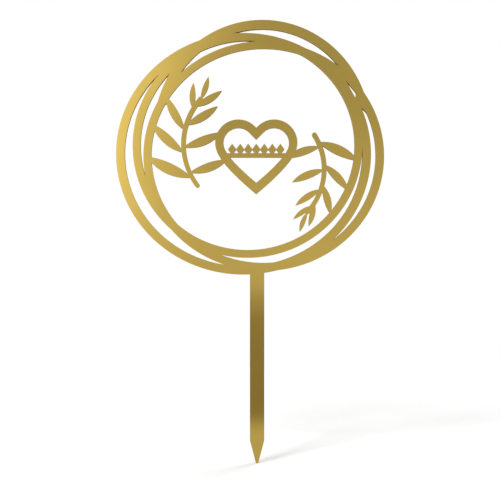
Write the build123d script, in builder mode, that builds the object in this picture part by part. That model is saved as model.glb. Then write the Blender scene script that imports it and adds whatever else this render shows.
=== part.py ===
from build123d import *

import os
from dataclasses import dataclass
from math import cos, radians, sin, sqrt, tan

# Cake topper of gold mirror sheet: a ring of four crossing hoops round an open heart, on a flat stake.
# It stands in the XZ plane with its front towards -Y. The origin is on the stake's middle line,
# half way through the thickness, at the level to which it is pushed in. All lengths are in millimetres.

# Thickness, from the front: mirror sheet, core, back coat
face_thickness = 0.2
core_thickness = 2.6
coat_thickness = 0.2

# Left hoop, the ring's datum: centre, half sizes of its outer edge, band on each side
ring_x = -7.09
left_hoop_half_width = 66.74
left_hoop_half_height = 63.25
left_hoop_left_band = 4.46
left_hoop_right_band = 4.45
left_hoop_top_band = 4.0
left_hoop_bottom_band = 4.4

# Right hoop, placed from the left hoop's centre; the insets are how much smaller its half sizes are
right_hoop_shift = 10.57
right_hoop_drop = 1.18
right_hoop_width_inset = 3.74
right_hoop_height_inset = 3.08
right_hoop_left_band = 4.11
right_hoop_right_band = 4.23
right_hoop_top_band = 3.73
right_hoop_bottom_band = 4.24

# Inner hoop, placed and sized from the left hoop in the same way
inner_hoop_shift = 2.07
inner_hoop_rise = 4.27
inner_hoop_width_inset = 6.61
inner_hoop_height_inset = 4.5
inner_hoop_left_band = 4.06
inner_hoop_right_band = 3.96
inner_hoop_top_band = 3.77
inner_hoop_bottom_band = 4.15

# Top arc, the upper part of a hoop: its peak above the left hoop's, how far down from there it reaches
# and how much further at its slanted right end, and the hoop it is cut from; the bottom band is what
# it would thin to if it closed
top_arc_shift = 9.83
top_arc_peak_rise = 6.84
top_arc_reach = 44.04
top_arc_slant_drop = 6.8
top_arc_width_inset = 9.93
top_arc_height_inset = 4.76
top_arc_left_band = 4.35
top_arc_right_band = 4.46
top_arc_top_band = 4.7
top_arc_bottom_band = 2.9

# Small gap left open where three hoops meet at the upper right: corners from the left hoop's centre,
# across as shares of its half width and up as shares of its half height
small_gap_shares = ((0.803, 0.606), (0.883, 0.506), (0.881, 0.455))

# Heart: its tip below the ring's centre, its lobes above the tip; its edges' slopes are from the upright,
# where the side leaves the lobe and at the tip
heart_x = -0.42
heart_tip_drop = 21.13
heart_lobe_rise = 26.93
heart_lobe_offset = 9.36
heart_lobe_radius = 12.17
heart_band = 4.35
heart_tip_band = 5.98
heart_side_angle = 21
heart_tip_angle = 50.2
heart_notch_angle = 45

# Bar across the heart, below the middle of its lobes and ending inside its widest line, and the row of
# diamonds that stands on it
bar_drop = 6.59
bar_setback = 4.93
bar_height = 2.23
diamond_count = 7
diamond_width = 4.4
diamond_height = 6.0
diamond_overlap = 0.2
diamond_sink = 1.0

# Sprigs: each one's middle above its hoop's middle and its half height, as shares of the half height
# of the hoop's window, and the width of the stems
left_sprig_middle_share = 0.191
left_sprig_height_share = 0.4505
right_sprig_middle_share = -0.328
right_sprig_height_share = 0.4125
stem_width = 2.4

# Across runs from the hoop's inner edge, 0, to the heart's side, 1; up runs from foot, -1, to top, 1
stem_shares = ((0.70, -1.04), (0.495, -0.08), (0.69, 0.75))
# Each leaf: where it leaves the stem, from foot, 0, to top, 1, then its tip across and up
hoop_leaf_shares = ((0.10, -0.08, -0.44), (0.38, -0.09, 0.25), (0.62, -0.09, 0.81), (0.86, 0.37, 1.08))
heart_leaf_shares = (
    (0.16, 1.195, -0.50),
    (0.44, 1.105, 0.06),
    (0.68, 1.05, 0.60),
    (0.90, 1.16, 0.92),
    (1.00, 0.76, 1.21),
)
# How far a leaf's lower and upper edges bow out, as shares of its length
leaf_lower_share = 0.14
leaf_upper_share = 0.08

# Stake: how far it rises to the left hoop, how far down it is pushed in, its point, and its top edge
# below the ring's lowest window
stake_width = 7.5
stake_rise = 45.7
stake_depth = 53.0
stake_point_length = 12.0
stake_point_width = 1.2
stake_setback = 0.6

# Places and sizes worked out from those above
total_thickness = face_thickness + core_thickness + coat_thickness
ring_z = stake_rise + left_hoop_half_height
heart_tip_z = ring_z - heart_tip_drop
heart_lobe_z = heart_tip_z + heart_lobe_rise
bar_z = heart_lobe_z - bar_drop
bar_length = 2 * (heart_lobe_offset + heart_lobe_radius - bar_setback)
top_arc_peak_z = ring_z + left_hoop_half_height + top_arc_peak_rise
top_arc_half_height = left_hoop_half_height - top_arc_height_inset


@dataclass
class Hoop:
    """An elliptical hoop: its outer edge, and how wide its band is on each side."""

    x: float
    z: float
    half_width: float
    half_height: float
    left_band: float
    right_band: float
    top_band: float
    bottom_band: float

    def __post_init__(self):
        self.window_x = self.x + (self.left_band - self.right_band) / 2
        self.window_z = self.z + (self.bottom_band - self.top_band) / 2
        self.window_half_width = self.half_width - (self.left_band + self.right_band) / 2
        self.window_half_height = self.half_height - (self.top_band + self.bottom_band) / 2

    def draw(self):
        """Draw the band in the open sketch."""
        with Locations((self.x, self.z)):
            Ellipse(self.half_width, self.half_height)
        with Locations((self.window_x, self.window_z)):
            Ellipse(self.window_half_width, self.window_half_height, mode=Mode.SUBTRACT)

    def inner_x(self, side, z):
        """Where the inner edge is at a height, on the left (side -1) or the right (side 1)."""
        height_share = (z - self.window_z) / self.window_half_height
        return self.window_x + side * self.window_half_width * sqrt(1 - height_share**2)


# Outlines, drawn flat with X to the right and the topper's Z upwards

left_hoop = Hoop(
    ring_x,
    ring_z,
    left_hoop_half_width,
    left_hoop_half_height,
    left_hoop_left_band,
    left_hoop_right_band,
    left_hoop_top_band,
    left_hoop_bottom_band,
)
with BuildSketch() as small_gap_outline:
    Polygon(
        *[
            (left_hoop.x + across * left_hoop.half_width, left_hoop.z + up * left_hoop.half_height)
            for across, up in small_gap_shares
        ],
        align=None,
    )
with BuildSketch() as left_hoop_outline:
    left_hoop.draw()
    add(small_gap_outline.sketch, mode=Mode.SUBTRACT)

right_hoop = Hoop(
    ring_x + right_hoop_shift,
    ring_z - right_hoop_drop,
    left_hoop_half_width - right_hoop_width_inset,
    left_hoop_half_height - right_hoop_height_inset,
    right_hoop_left_band,
    right_hoop_right_band,
    right_hoop_top_band,
    right_hoop_bottom_band,
)
with BuildSketch() as right_hoop_outline:
    right_hoop.draw()
    add(small_gap_outline.sketch, mode=Mode.SUBTRACT)

inner_hoop = Hoop(
    ring_x + inner_hoop_shift,
    ring_z + inner_hoop_rise,
    left_hoop_half_width - inner_hoop_width_inset,
    left_hoop_half_height - inner_hoop_height_inset,
    inner_hoop_left_band,
    inner_hoop_right_band,
    inner_hoop_top_band,
    inner_hoop_bottom_band,
)
with BuildSketch() as inner_hoop_outline:
    inner_hoop.draw()

top_arc = Hoop(
    ring_x + top_arc_shift,
    top_arc_peak_z - top_arc_half_height,
    left_hoop_half_width - top_arc_width_inset,
    top_arc_half_height,
    top_arc_left_band,
    top_arc_right_band,
    top_arc_top_band,
    top_arc_bottom_band,
)
with BuildSketch() as top_arc_outline:
    top_arc.draw()
    end_z = top_arc_peak_z - top_arc_reach
    low_z = top_arc.z - top_arc.half_height
    left_x = top_arc.x - top_arc.half_width
    right_x = top_arc.x + top_arc.half_width
    Polygon(
        (left_x, end_z),
        (right_x - top_arc_slant_drop, end_z),
        (right_x, end_z - top_arc_slant_drop),
        (right_x, low_z),
        (left_x, low_z),
        align=None,
        mode=Mode.SUBTRACT,
    )
    add(small_gap_outline.sketch, mode=Mode.SUBTRACT)


def heart_side(side, lobe_radius, tip_z):
    """Draw half a heart: a line out of the notch, a round lobe, and a long curve down to the tip."""
    lobe_x = heart_x + side * heart_lobe_offset
    top_angle = radians(heart_notch_angle)
    low_angle = radians(heart_side_angle)
    lobe_start_x = lobe_x - side * lobe_radius * cos(top_angle)
    lobe_start_z = heart_lobe_z + lobe_radius * sin(top_angle)
    lobe_end_x = lobe_x + side * lobe_radius * cos(low_angle)
    lobe_end_z = heart_lobe_z - lobe_radius * sin(low_angle)
    notch_z = lobe_start_z - abs(lobe_start_x - heart_x) / tan(top_angle)
    Line((heart_x, notch_z), (lobe_start_x, lobe_start_z))
    ThreePointArc(
        (lobe_start_x, lobe_start_z),
        (lobe_x, heart_lobe_z + lobe_radius),
        (lobe_end_x, lobe_end_z),
    )
    side_slope = tan(low_angle)
    tip_slope = tan(radians(heart_tip_angle))
    lobe_line_x = abs(lobe_end_x - heart_x) - side_slope * (lobe_end_z - tip_z)
    corner_rise = lobe_line_x / (tip_slope - side_slope)
    Bezier(
        (lobe_end_x, lobe_end_z),
        (heart_x + side * tip_slope * corner_rise, tip_z + corner_rise),
        (heart_x, tip_z),
    )


with BuildSketch() as heart_frame_outline:
    with BuildLine():
        for side in (-1, 1):
            heart_side(side, heart_lobe_radius, heart_tip_z)
    make_face()
    with BuildLine():
        for side in (-1, 1):
            heart_side(side, heart_lobe_radius - heart_band, heart_tip_z + heart_tip_band)
    make_face(mode=Mode.SUBTRACT)

with BuildSketch() as heart_bar_outline:
    with Locations((heart_x, bar_z)):
        Rectangle(bar_length, bar_height)

with BuildSketch() as diamond_trim_outline:
    with Locations((heart_x, bar_z + bar_height / 2 - diamond_sink + diamond_height / 2)):
        with GridLocations(diamond_width - diamond_overlap, 0, diamond_count, 1):
            Polygon(
                (-diamond_width / 2, 0),
                (0, -diamond_height / 2),
                (diamond_width / 2, 0),
                (0, diamond_height / 2),
            )


def draw_sprig(side, hoop, middle_share, height_share):
    """Draw a stem with leaves between a hoop and the heart, the right one turned half round."""
    heart_side_x = heart_x + side * (heart_lobe_offset + heart_lobe_radius)
    middle_z = hoop.window_z + middle_share * hoop.window_half_height
    half_height = height_share * hoop.window_half_height

    def place(across, up):
        z = middle_z - side * up * half_height
        hoop_x = hoop.inner_x(side, z)
        return (hoop_x + across * (heart_side_x - hoop_x), z)

    with BuildLine() as stem_line:
        stem = ThreePointArc(*[place(across, up) for across, up in stem_shares])
    trace(stem_line.edges(), line_width=stem_width)
    with Locations(stem @ 0, stem @ 1):
        Circle(stem_width / 2)
    for leaf_shares, lower_side in ((hoop_leaf_shares, 1), (heart_leaf_shares, -1)):
        for along, across, up in leaf_shares:
            foot = stem @ along
            tip = Vector(*place(across, up))
            bow = lower_side * (tip - foot).length
            with BuildLine() as leaf_edge:
                SagittaArc(foot, tip, bow * leaf_lower_share)
                SagittaArc(foot, tip, -bow * leaf_upper_share)
            make_face(leaf_edge.edges())


with BuildSketch() as left_sprig_outline:
    draw_sprig(-1, right_hoop, left_sprig_middle_share, left_sprig_height_share)

with BuildSketch() as right_sprig_outline:
    draw_sprig(1, inner_hoop, right_sprig_middle_share, right_sprig_height_share)

with BuildSketch() as stake_outline:
    stake_top_z = right_hoop.window_z - right_hoop.window_half_height - stake_setback
    Polygon(
        (-stake_width / 2, stake_top_z),
        (-stake_width / 2, stake_point_length - stake_depth),
        (-stake_point_width / 2, -stake_depth),
        (stake_point_width / 2, -stake_depth),
        (stake_width / 2, stake_point_length - stake_depth),
        (stake_width / 2, stake_top_z),
        align=None,
    )

outlines = {
    "left_hoop": left_hoop_outline.sketch,
    "top_arc": top_arc_outline.sketch,
    "right_hoop": right_hoop_outline.sketch,
    "inner_hoop": inner_hoop_outline.sketch,
    "heart_frame": heart_frame_outline.sketch,
    "heart_bar": heart_bar_outline.sketch,
    "diamond_trim": diamond_trim_outline.sketch,
    "left_sprig": left_sprig_outline.sketch,
    "right_sprig": right_sprig_outline.sketch,
    "stake": stake_outline.sketch,
}

# Where pieces cross they are lapped in steps of the core's thickness, from the front to the back. In
# each step the piece named first keeps its whole width, and those after it are cut to meet it. Each
# hoop comes first in one step, so it runs on unbroken, and what the ring carries comes first in the last.
# Of any two pieces the same one is always in front, so each crossing is one plain lap.
carried = ["heart_frame", "heart_bar", "diamond_trim", "left_sprig", "right_sprig", "stake"]
lap_orders = (
    ["left_hoop", "top_arc", "right_hoop", "inner_hoop", *carried],
    ["top_arc", "left_hoop", "right_hoop", "inner_hoop", *carried],
    ["right_hoop", "top_arc", "inner_hoop", "left_hoop", *carried],
    ["inner_hoop", "right_hoop", *carried, "top_arc", "left_hoop"],
    [*reversed(carried), "inner_hoop", "right_hoop", "top_arc", "left_hoop"],
)
lap_step = core_thickness / len(lap_orders)


def plane_at(depth):
    """The sketch plane at a depth behind the front face; extruding goes forward from it."""
    return Plane.XZ.offset(total_thickness / 2 - depth)


os.makedirs("parts", exist_ok=True)

for name in outlines:
    with BuildPart() as core_piece:
        for step, order in enumerate(lap_orders, start=1):
            with BuildSketch(plane_at(face_thickness + step * lap_step)):
                add(outlines[name])
                for crossing in order[: order.index(name)]:
                    add(outlines[crossing], mode=Mode.SUBTRACT)
            extrude(amount=lap_step)
    core_piece.part.label = name
    export_step(core_piece.part, f"parts/{name}.step")

with BuildPart() as mirror_face:
    with BuildSketch(plane_at(face_thickness)):
        for outline in outlines.values():
            add(outline)
    extrude(amount=face_thickness)
mirror_face.part.label = "mirror_face"
export_step(mirror_face.part, "parts/mirror_face.step")

with BuildPart() as back_coat:
    with BuildSketch(plane_at(total_thickness)):
        for outline in outlines.values():
            add(outline)
    extrude(amount=coat_thickness)
back_coat.part.label = "back_coat"
export_step(back_coat.part, "parts/back_coat.step")
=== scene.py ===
import math

import bpy
import numpy as np
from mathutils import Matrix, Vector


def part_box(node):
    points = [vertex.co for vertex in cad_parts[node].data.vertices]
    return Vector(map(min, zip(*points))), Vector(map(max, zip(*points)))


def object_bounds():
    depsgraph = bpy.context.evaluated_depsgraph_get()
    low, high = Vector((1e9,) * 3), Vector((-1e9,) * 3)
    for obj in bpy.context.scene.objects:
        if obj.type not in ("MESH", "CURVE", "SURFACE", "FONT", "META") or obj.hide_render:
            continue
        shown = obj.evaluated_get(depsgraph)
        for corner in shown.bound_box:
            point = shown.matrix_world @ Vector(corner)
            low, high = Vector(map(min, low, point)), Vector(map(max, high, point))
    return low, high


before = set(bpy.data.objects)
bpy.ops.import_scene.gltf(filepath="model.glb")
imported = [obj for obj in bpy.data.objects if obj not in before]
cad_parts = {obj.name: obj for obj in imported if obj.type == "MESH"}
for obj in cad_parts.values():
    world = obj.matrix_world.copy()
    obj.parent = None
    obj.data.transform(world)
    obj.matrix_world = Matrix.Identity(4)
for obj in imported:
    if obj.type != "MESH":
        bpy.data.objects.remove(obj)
cad_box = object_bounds()

# Core: ten flat pieces of dyed acrylic, the hoops, the heart and what it carries, the sprigs and the stake.
# They are cut by laser and lapped where they cross. Between the mirror face and the back coat only
# their cut walls show: satin amber, scored across by the beam and browned towards the back.

core_nodes = (
    "left_hoop",
    "top_arc",
    "right_hoop",
    "inner_hoop",
    "heart_frame",
    "heart_bar",
    "diamond_trim",
    "left_sprig",
    "right_sprig",
    "stake",
)
wall_amber = (0.470, 0.322, 0.078, 1.0)
wall_browned = (0.300, 0.190, 0.043, 1.0)
wall_roughness = 0.30
score_roughness = 0.16
score_spacing = 0.00035
score_stretch = 0.05
score_depth = 0.000012
wall_cloud_spacing = 0.02
browning_by_scores = 0.35
browning_by_cloud = 0.2
browning_range = (0.45, 1.45)


class Field:
    """One output of a node tree, as a value to reckon with.

    Arithmetic on it adds Math nodes to its tree, and node() adds any other kind of node.
    """

    def __init__(self, tree, output=None):
        self.tree = tree
        self.output = output

    def node(self, kind, settings=None, inputs=None, output=0):
        """Add a node: its settings are made first, then each input gets its value or its link."""
        node = self.tree.nodes.new(kind)
        for name, value in (settings or {}).items():
            setattr(node, name, value)
        for key, value in (inputs or {}).items():
            socket = next(s for s in node.inputs if key in (s.identifier, s.name))
            if isinstance(value, Field):
                self.tree.links.new(value.output, socket)
            else:
                socket.default_value = value
        return Field(self.tree, node.outputs[output] if node.outputs else None)

    def math(self, operation, first, second):
        return self.node("ShaderNodeMath", {"operation": operation}, {"Value": first, "Value_001": second})

    def __add__(self, other):
        return self.math("ADD", self, other)

    def __radd__(self, other):
        return self.math("ADD", other, self)

    def __sub__(self, other):
        return self.math("SUBTRACT", self, other)

    def __rsub__(self, other):
        return self.math("SUBTRACT", other, self)

    def __mul__(self, other):
        return self.math("MULTIPLY", self, other)

    def __rmul__(self, other):
        return self.math("MULTIPLY", other, self)


def blend(amount, first, second):
    """Colour that goes from the first to the second as the amount goes from 0 to 1."""
    settings = {"data_type": "RGBA"}
    inputs = {"Factor_Float": amount, "A_Color": first, "B_Color": second}
    return amount.node("ShaderNodeMix", settings, inputs, "Result")


def rise(value, low, high):
    """Smooth step: 0 where the value is at low, 1 where it is at high, level beyond both."""
    settings = {"interpolation_type": "SMOOTHSTEP"}
    return value.node("ShaderNodeMapRange", settings, {"Value": value, "From Min": low, "From Max": high})


def grain(place, spacing, stretch=(1.0, 1.0, 1.0), turn=(0.0, 0.0, 0.0), detail=2.0):
    """Noise from 0 to 1 with its lumps a spacing apart in metres, after a turn and a stretch of space.

    Along an axis with a stretch under 1 the lumps are drawn out into lines.
    """
    turned = place.node("ShaderNodeMapping", {}, {"Vector": place, "Rotation": turn})
    mapped = place.node("ShaderNodeMapping", {}, {"Vector": turned, "Scale": stretch})
    inputs = {"Vector": mapped, "Scale": 1 / spacing, "Detail": detail}
    return place.node("ShaderNodeTexNoise", {}, inputs)


def new_material(name):
    """Empty node material, and a field at the object's own coordinates to start from."""
    material = bpy.data.materials.new(name)
    material.use_nodes = True
    material.node_tree.nodes.clear()
    place = Field(material.node_tree).node("ShaderNodeTexCoord", output="Object")
    return material, place


def relief(height, distance):
    """Normal of a surface raised by the height, from 0 to 1, times a distance in metres."""
    inputs = {"Height": height, "Strength": 1.0, "Distance": distance}
    return height.node("ShaderNodeBump", {}, inputs, "Normal")


def finish_surface(place, inputs):
    """Wire the inputs to a Principled surface and that to the material's output."""
    surface = place.node("ShaderNodeBsdfPrincipled", {}, inputs, "BSDF")
    place.node("ShaderNodeOutputMaterial", {}, {"Surface": surface})


def depth_share(place, node):
    """How far back a point lies in a node's thickness: 0 at its front, 1 at its back."""
    low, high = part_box(node)
    depth = place.node("ShaderNodeSeparateXYZ", {}, {"Vector": place}, "Y")
    return place.node("ShaderNodeMapRange", {}, {"Value": depth, "From Min": low[1], "From Max": high[1]})


def cut_wall_material():
    """Amber acrylic wall: beam scores run through the thickness, and the back edge is browned."""
    material, place = new_material("cut_amber_wall")
    scores = grain(place, score_spacing, stretch=(1.0, score_stretch, 1.0), detail=3.0)
    cloud = grain(place, wall_cloud_spacing, detail=1.0)
    depth = depth_share(place, "left_hoop")
    browning = rise(depth + browning_by_scores * scores + browning_by_cloud * cloud, *browning_range)
    inputs = {
        "Base Color": blend(browning, wall_amber, wall_browned),
        "Roughness": wall_roughness + score_roughness * scores,
        "Specular IOR Level": 0.0,
        "Normal": relief(scores, score_depth),
    }
    finish_surface(place, inputs)
    return material


cut_wall = cut_wall_material()
for node in core_nodes:
    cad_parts[node].material_slots[0].material = cut_wall

# Mirror face: one thin sheet of gold mirror over the whole front, cut to the same outline.
# It is glued to the core, hides every lap, and shows the room as a smooth gold gleam. The sheet is
# very slightly wavy, with a breath of haze and a few hairlines from wiping.

gold = (0.440, 0.305, 0.0575, 1.0)
gold_deep = (0.402, 0.279, 0.0525, 1.0)
drift_spacing = 0.045
drift_range = (0.3, 0.7)
gold_roughness = 0.065
haze_roughness = 0.04
haze_spacing = 0.008
hairline_roughness = 0.06
hairline_spacing = 0.0009
hairline_stretch = 0.015
hairline_turns = (0.5, -0.35, 1.2)
hairline_range = (0.72, 0.80)
wiped_patch_spacing = 0.03
wiped_patch_range = (0.50, 0.70)
wave_spacing = 0.022
wave_depth = 0.00003
gloss_weight = 0.4
gloss_roughness = 0.05
acrylic_ior = 1.49


def hairlines(place, angle):
    """Sparse fine lines at an angle across the front: 1 on a line, 0 elsewhere."""
    lines = grain(place, hairline_spacing, (1.0, 1.0, hairline_stretch), (0.0, angle, 0.0), detail=1.0)
    patches = grain(place, wiped_patch_spacing, detail=1.0)
    return rise(lines, *hairline_range) * rise(patches, *wiped_patch_range)


def gold_mirror_material():
    """Gold mirror: a metal whose colour, haze and hairlines drift over the sheet, under a clear coat."""
    material, place = new_material("gold_mirror")
    drift = grain(place, drift_spacing, detail=3.0)
    haze = grain(place, haze_spacing, detail=5.0)
    first_lines, *more_lines = [hairlines(place, angle) for angle in hairline_turns]
    wiped = sum(more_lines, first_lines)
    inputs = {
        "Base Color": blend(rise(drift, *drift_range), gold_deep, gold),
        "Metallic": 1.0,
        "Roughness": gold_roughness + haze_roughness * haze + hairline_roughness * wiped,
        "Coat Weight": gloss_weight,
        "Coat Roughness": gloss_roughness,
        "Coat IOR": acrylic_ior,
        "Normal": relief(grain(place, wave_spacing, detail=1.0), wave_depth),
    }
    finish_surface(place, inputs)
    return material


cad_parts["mirror_face"].material_slots[0].material = gold_mirror_material()

# Back coat: one layer of satin bronze lacquer over the whole back, sprayed on before the sheet is cut.
# It seals the laps from behind. The spray leaves a fine orange peel and a sparkle of metal flake.

lacquer = (0.430, 0.285, 0.080, 1.0)
lacquer_shaded = (0.360, 0.232, 0.060, 1.0)
lacquer_metal = 0.60
lacquer_roughness = 0.42
lacquer_cloud_spacing = 0.03
lacquer_cloud_range = (0.3, 0.7)
cloud_roughness = 0.08
flake_bright = (0.660, 0.480, 0.170, 1.0)
flake_metal = 0.35
flake_polish = 0.12
flake_spacing = 0.0004
flake_range = (0.62, 0.75)
peel_spacing = 0.0011
peel_depth = 0.000018
varnish_weight = 0.15
varnish_roughness = 0.3


def bronze_lacquer_material():
    """Satin lacquer: cloudy bronze with metal flakes, pitted by the spray."""
    material, place = new_material("bronze_lacquer")
    cloud = grain(place, lacquer_cloud_spacing, detail=4.0)
    flakes = rise(grain(place, flake_spacing, detail=1.0), *flake_range)
    peel = grain(place, peel_spacing)
    ground = blend(rise(cloud, *lacquer_cloud_range), lacquer_shaded, lacquer)
    inputs = {
        "Base Color": blend(flakes, ground, flake_bright),
        "Metallic": lacquer_metal + flake_metal * flakes,
        "Roughness": lacquer_roughness - flake_polish * flakes + cloud_roughness * cloud,
        "Coat Weight": varnish_weight,
        "Coat Roughness": varnish_roughness,
        "Normal": relief(peel, peel_depth),
    }
    finish_surface(place, inputs)
    return material


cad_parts["back_coat"].material_slots[0].material = bronze_lacquer_material()

# Floor: a plain pale disc under the stake's point, which takes the topper's shadow and fades at its rim.
# It isn't part of the topper. Seen by the camera or in a gleam it is as white as the background.

floor_radius = 0.32
floor_middle = (0.08, 0.14, cad_box[0][2])
floor_fade_share = 0.70
floor_rings = 12
floor_spokes = 96
floor_white = (0.82, 0.82, 0.82, 1.0)
floor_glow = 0.17
floor_roughness = 0.85
speckle_roughness = 0.1
speckle_spacing = 0.004
black = (0.0, 0.0, 0.0, 1.0)
white = (1.0, 1.0, 1.0, 1.0)


def disc(middle, radius):
    """Flat disc: ring i of n at spoke j of m lies radius i/n from the middle, at j/m of a whole turn."""
    share, angle = np.meshgrid(
        np.linspace(0, 1, floor_rings + 1)[1:],
        np.linspace(0, 2 * math.pi, floor_spokes, endpoint=False),
        indexing="ij",
    )
    around = radius * share[..., None] * np.stack((np.cos(angle), np.sin(angle), 0 * angle), axis=-1)
    points = np.array(middle) + np.concatenate((np.zeros((1, 3)), around.reshape(-1, 3)))
    spokes = np.arange(floor_spokes)
    after = (spokes + 1) % floor_spokes
    inner = 1 + floor_spokes * np.arange(floor_rings - 1)[:, None]
    outer = inner + floor_spokes
    quads = np.stack((inner + spokes, outer + spokes, outer + after, inner + after), axis=-1).reshape(-1, 4)
    wedges = np.stack((np.zeros_like(spokes), 1 + spokes, 1 + after), axis=-1)
    mesh = bpy.data.meshes.new("floor")
    mesh.from_pydata(points.tolist(), [], wedges.tolist() + quads.tolist())
    return mesh


def shown(field):
    """1 for a ray from the camera, or one mirrored or passed on by a gloss or glass surface, else 0."""
    seen, mirrored, passed_on = [
        field.node("ShaderNodeLightPath", output=f"Is {kind} Ray")
        for kind in ("Camera", "Glossy", "Transmission")
    ]
    return field.math("MAXIMUM", seen, field.math("MAXIMUM", mirrored, passed_on))


def floor_material():
    """Matt white that also glows a little where it is looked at, so that only the shadow shows."""
    material, place = new_material("pale_floor")
    speckle = grain(place, speckle_spacing)
    ends = {"Vector": place, "Vector_001": floor_middle}
    from_middle = place.node("ShaderNodeVectorMath", {"operation": "DISTANCE"}, ends, "Value")
    inputs = {
        "Base Color": floor_white,
        "Alpha": rise(from_middle, floor_radius, floor_radius * floor_fade_share),
        "Roughness": floor_roughness + speckle_roughness * speckle,
        "Specular IOR Level": 0.0,
        "Emission Color": blend(shown(place), black, white),
        "Emission Strength": floor_glow,
    }
    finish_surface(place, inputs)
    return material


floor = bpy.data.objects.new("floor", disc(floor_middle, floor_radius))
bpy.context.scene.collection.objects.link(floor)
floor.data.materials.append(floor_material())

# Light: soft studio light from a large lamp at the upper left and a weaker one behind on the right.
# The room itself is white behind the topper. Towards the camera it has a bright wall on the left,
# darkens to the upper right, and falls to a warm dark table below, which the mirror face shows.

fill_strength = 0.60
room_level = 1.12
bright_wall = 1.45
wall_lean = 0.34
wall_near_edge = (0.06, 0.25)
wall_far_edge = (0.40, 0.75)
wall_far_loss = 0.6
upper_loss = 0.295
upper_edge = (0.02, 0.15)
table_tint = (0.47, 0.43, 0.375, 1.0)
table_far_edge = (-0.042, -0.060)
table_near_edge = (-0.10, -0.13)
table_near_share = 0.07
table_right_edge = (0.25, 0.60)
table_right_loss = 0.6
behind_edge = (-0.3, 0.4)
key_place = (-0.55, -0.75, 0.85)
key_size = 0.3
key_power = 7.0
back_place = (0.60, 0.70, 0.60)
back_size = 0.5
back_power = 4.5


def room_light():
    """Strength and tint of the room in each direction: x to the right, y away behind, z up."""
    world = bpy.data.worlds.new("studio")
    bpy.context.scene.world = world
    world.use_nodes = True
    world.node_tree.nodes.clear()
    room = Field(world.node_tree)
    direction = room.node("ShaderNodeTexCoord", output="Generated")
    across, away, up = [
        room.node("ShaderNodeSeparateXYZ", {}, {"Vector": direction}, axis) for axis in ("X", "Y", "Z")
    ]
    leftward = wall_lean * up - across
    wall = rise(leftward, *wall_near_edge) * (1.0 - wall_far_loss * rise(leftward, *wall_far_edge))
    far_table = (1.0 - table_near_share) * rise(up, *table_far_edge)
    near_table = table_near_share * rise(up, *table_near_edge)
    table = (far_table + near_table) * (1.0 - table_right_loss * rise(across, *table_right_edge))
    behind = rise(away, *behind_edge)
    front = room_level + bright_wall * wall - upper_loss * rise(up, *upper_edge)
    tint = blend(table, white, table_tint)
    tint = blend(behind, tint, white)
    seen = front + behind * (1.0 - front)
    camera_ray = room.node("ShaderNodeLightPath", output="Is Camera Ray")
    looked_at = shown(room)
    strength = fill_strength + looked_at * (seen - fill_strength)
    strength = strength + camera_ray * (1.0 - strength)
    tint = blend(looked_at, white, tint)
    tint = blend(camera_ray, tint, white)
    light = room.node("ShaderNodeBackground", {}, {"Color": tint, "Strength": strength})
    room.node("ShaderNodeOutputWorld", {}, {"Surface": light})


def soft_lamp(name, place, size, power):
    """Square soft lamp at a place, turned to face the middle of the topper."""
    lamp = bpy.data.lights.new(name, "AREA")
    lamp.size = size
    lamp.energy = power
    holder = bpy.data.objects.new(name, lamp)
    middle = (cad_box[0] + cad_box[1]) / 2
    holder.location = place
    holder.rotation_euler = (middle - holder.location).to_track_quat("-Z", "Y").to_euler()
    bpy.context.scene.collection.objects.link(holder)


room_light()
soft_lamp("key_lamp", key_place, key_size, key_power)
soft_lamp("back_lamp", back_place, back_size, back_power)

# Camera: level and square to the front, as in the photograph.
# A length of scale_length on the front face covers scale_pixels of the square picture. The topper's
# origin, on the stake at the level to which it is pushed in, stands at one pixel of it.

picture_pixels = 500
scale_length = 0.140
scale_pixels = 267.6
origin_pixel_x = 257.1
origin_pixel_y = 362.0
camera_distance = 0.50
sensor_width = 36.0
pixel_size = scale_length / scale_pixels
picture_width = picture_pixels * pixel_size
camera_data = bpy.data.cameras.new("camera")
camera_data.sensor_width = sensor_width
camera_data.lens = sensor_width * camera_distance / picture_width
camera = bpy.data.objects.new("camera", camera_data)
camera.location = (
    (picture_pixels / 2 - origin_pixel_x) * pixel_size,
    cad_box[0][1] - camera_distance,
    (origin_pixel_y - picture_pixels / 2) * pixel_size,
)
camera.rotation_euler = (math.pi / 2, 0.0, 0.0)
bpy.context.scene.collection.objects.link(camera)
bpy.context.scene.camera = camera
bpy.context.scene.view_settings.view_transform = "Standard"
